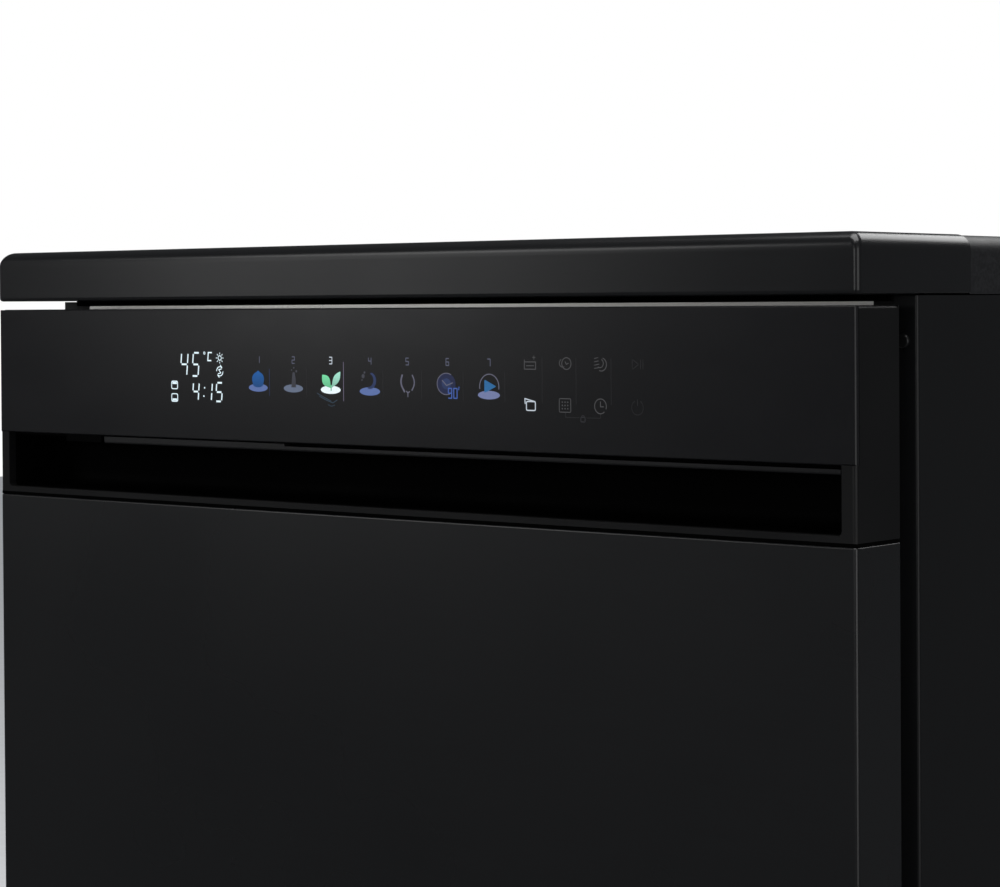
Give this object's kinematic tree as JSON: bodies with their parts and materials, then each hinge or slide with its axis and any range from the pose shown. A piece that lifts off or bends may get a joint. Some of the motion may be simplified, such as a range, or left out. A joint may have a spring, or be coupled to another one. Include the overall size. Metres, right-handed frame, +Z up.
{
  "type": "dishwasher",
  "caption": "Free-standing dishwasher with worktop, black glass touch fascia, recessed handle, drop-down door, steel tub, sliding baskets and spray arms.",
  "frame": {"origin": "centre of the footprint, on the floor", "axes": "+Z up, front faces -Y, +X to the right seen from the front"},
  "size_m": [0.598, 0.6, 0.846],
  "materials": {
    "worktop": "dark laminate over chipboard",
    "worktop_edge": "dark satin edge trim",
    "dark_steel": "black stainless, fine vertical brushing under clear coat",
    "zinc_steel": "zinc coated sheet",
    "spring_steel": "drawn wire",
    "black_plastic": "satin moulded",
    "grip_plastic": "satin moulded",
    "control_glass": "black backed gloss glass",
    "board": "circuit board",
    "base_plastic": "filled polypropylene",
    "stainless": "brushed stainless",
    "screw_steel": "black domed heads",
    "seal_rubber": "soft matt",
    "felt": "felt",
    "grey_plastic": "satin moulded",
    "cap_plastic": "satin moulded",
    "valve_plastic": "moulded",
    "basket_wire": "nylon coated wire"
  },
  "bodies": {
    "cabinet": {"worktop_trim": "worktop_edge", "worktop_board": "worktop", "side_panel_left": "dark_steel", "side_panel_right": "dark_steel", "rear_panel": "zinc_steel", "kick_plate": "black_plastic", "base_tray": "base_plastic", "front_corner_caps": "black_plastic", "cabinet_screws": "screw_steel", "tub_wrapper": "stainless", "tub_back": "stainless", "tub_floor": "stainless", "tub_front_frame": "stainless", "tub_seal": "seal_rubber", "insulation_jacket": "felt", "sump": "grey_plastic", "filter_plate": "stainless", "circulation_pump": "grey_plastic", "drain_pump": "grey_plastic", "water_softener": "grey_plastic", "inlet_valve": "valve_plastic", "drain_spigot": "valve_plastic", "mains_gland": "valve_plastic", "air_break": "grey_plastic", "spray_duct": "grey_plastic", "upper_rails": "stainless", "latch_strike": "zinc_steel", "hinge_brackets": "zinc_steel", "hinge_pins": "zinc_steel", "door_springs": "spring_steel"},
    "door": {"door_outer_panel": "dark_steel", "fascia_moulding": "black_plastic", "control_glass": "control_glass", "handle_pocket": "black_plastic", "handle_grip": "grip_plastic", "control_board": "board", "door_inner_liner": "stainless", "dispenser_body": "grey_plastic", "door_latch": "black_plastic", "hinge_arms": "zinc_steel"},
    "detergent_lid": {"dispenser_lid": "grey_plastic"},
    "rinse_cap": {"rinse_aid_cap": "cap_plastic"},
    "upper_runners": {"upper_slides": "stainless"},
    "upper_rack": {"upper_basket": "basket_wire", "upper_feed_pipe": "grey_plastic"},
    "upper_arm": {"upper_spray_arm": "grey_plastic"},
    "shelf_left": {"cup_shelf_left": "basket_wire"},
    "shelf_right": {"cup_shelf_right": "basket_wire"},
    "lower_rack": {"lower_basket": "basket_wire", "cutlery_basket": "grey_plastic"},
    "tine_row": {"folding_tines": "basket_wire"},
    "front_wheel_pair": {"front_wheels": "grey_plastic"},
    "rear_wheel_pair": {"rear_wheels": "grey_plastic"},
    "lower_arm": {"lower_spray_arm": "grey_plastic"},
    "filter": {"filter_cylinder": "grey_plastic"},
    "salt_lid": {"salt_cap": "cap_plastic"},
    "front_left_foot": {"foot_front_left": "base_plastic"},
    "rear_left_foot": {"foot_rear_left": "base_plastic"},
    "front_right_foot": {"foot_front_right": "base_plastic"},
    "rear_right_foot": {"foot_rear_right": "base_plastic"}
  },
  "joints": [
    {"name": "door_hinge", "type": "hinge", "parent": "cabinet", "child": "door", "pos_m": [0, -0.256, 0.13], "axis": [1, 0, 0], "range_deg": [0, 90], "stiffness_Nm_per_rad": 16},
    {"name": "upper_runner_slide", "type": "slide", "parent": "cabinet", "child": "upper_runners", "axis": [0, -1, 0], "range_m": [0, 0.2255]},
    {"name": "upper_rack_slide", "type": "slide", "parent": "cabinet", "child": "upper_rack", "axis": [0, -1, 0], "range_m": [0, 0.4505]},
    {"name": "lower_rack_slide", "type": "slide", "parent": "cabinet", "child": "lower_rack", "axis": [0, -1, 0], "range_m": [0, 0.0869]},
    {"name": "front_wheels_roll", "type": "hinge", "parent": "lower_rack", "child": "front_wheel_pair", "pos_m": [0, -0.15, 0.168], "axis": [1, 0, 0], "continuous": true},
    {"name": "rear_wheels_roll", "type": "hinge", "parent": "lower_rack", "child": "rear_wheel_pair", "pos_m": [0, 0.14, 0.168], "axis": [1, 0, 0], "continuous": true},
    {"name": "lower_arm_spin", "type": "hinge", "parent": "cabinet", "child": "lower_arm", "pos_m": [0, 0.01, 0.178], "axis": [0, 0, 1], "continuous": true},
    {"name": "upper_arm_spin", "type": "hinge", "parent": "upper_rack", "child": "upper_arm", "pos_m": [0, -0.005, 0.474], "axis": [0, 0, 1], "continuous": true},
    {"name": "detergent_lid_slide", "type": "slide", "parent": "door", "child": "detergent_lid", "axis": [-1, 0, 0], "range_m": [0, 0.086]},
    {"name": "rinse_cap_turn", "type": "hinge", "parent": "door", "child": "rinse_cap", "pos_m": [0.045, -0.2415, 0.47], "axis": [0, 1, 0], "range_deg": [0, 90]},
    {"name": "shelf_left_fold", "type": "hinge", "parent": "upper_rack", "child": "shelf_left", "pos_m": [-0.236, 0, 0.602], "axis": [0, 1, 0], "range_deg": [0, 88]},
    {"name": "shelf_right_fold", "type": "hinge", "parent": "upper_rack", "child": "shelf_right", "pos_m": [0.236, 0, 0.602], "axis": [0, 1, 0], "range_deg": [-88, 0]},
    {"name": "tines_fold", "type": "hinge", "parent": "lower_rack", "child": "tine_row", "pos_m": [0, 0.12, 0.2065], "axis": [1, 0, 0], "range_deg": [0, 87]},
    {"name": "filter_twist", "type": "hinge", "parent": "cabinet", "child": "filter", "pos_m": [0.06, -0.03, 0.15], "axis": [0, 0, 1], "range_deg": [0, 90]},
    {"name": "salt_cap_twist", "type": "hinge", "parent": "cabinet", "child": "salt_lid", "pos_m": [-0.19, 0.15, 0.15], "axis": [0, 0, 1], "continuous": true},
    {"name": "front_left_foot_turn", "type": "hinge", "parent": "cabinet", "child": "front_left_foot", "pos_m": [-0.262, -0.19, 0.015], "axis": [0, 0, 1], "continuous": true},
    {"name": "rear_left_foot_turn", "type": "hinge", "parent": "cabinet", "child": "rear_left_foot", "pos_m": [-0.262, 0.25, 0.015], "axis": [0, 0, 1], "continuous": true},
    {"name": "front_right_foot_turn", "type": "hinge", "parent": "cabinet", "child": "front_right_foot", "pos_m": [0.262, -0.19, 0.015], "axis": [0, 0, 1], "continuous": true},
    {"name": "rear_right_foot_turn", "type": "hinge", "parent": "cabinet", "child": "rear_right_foot", "pos_m": [0.262, 0.25, 0.015], "axis": [0, 0, 1], "continuous": true}
  ],
  "couplings": [
    {"joint": "upper_runner_slide", "follows": "door_hinge", "m_per_rad": 0.14325},
    {"joint": "upper_rack_slide", "follows": "door_hinge", "m_per_rad": 0.2865},
    {"joint": "lower_rack_slide", "follows": "door_hinge", "m_per_rad": 0.055},
    {"joint": "front_wheels_roll", "follows": "door_hinge", "ratio": 3.0556},
    {"joint": "rear_wheels_roll", "follows": "door_hinge", "ratio": 3.0556}
  ]
}
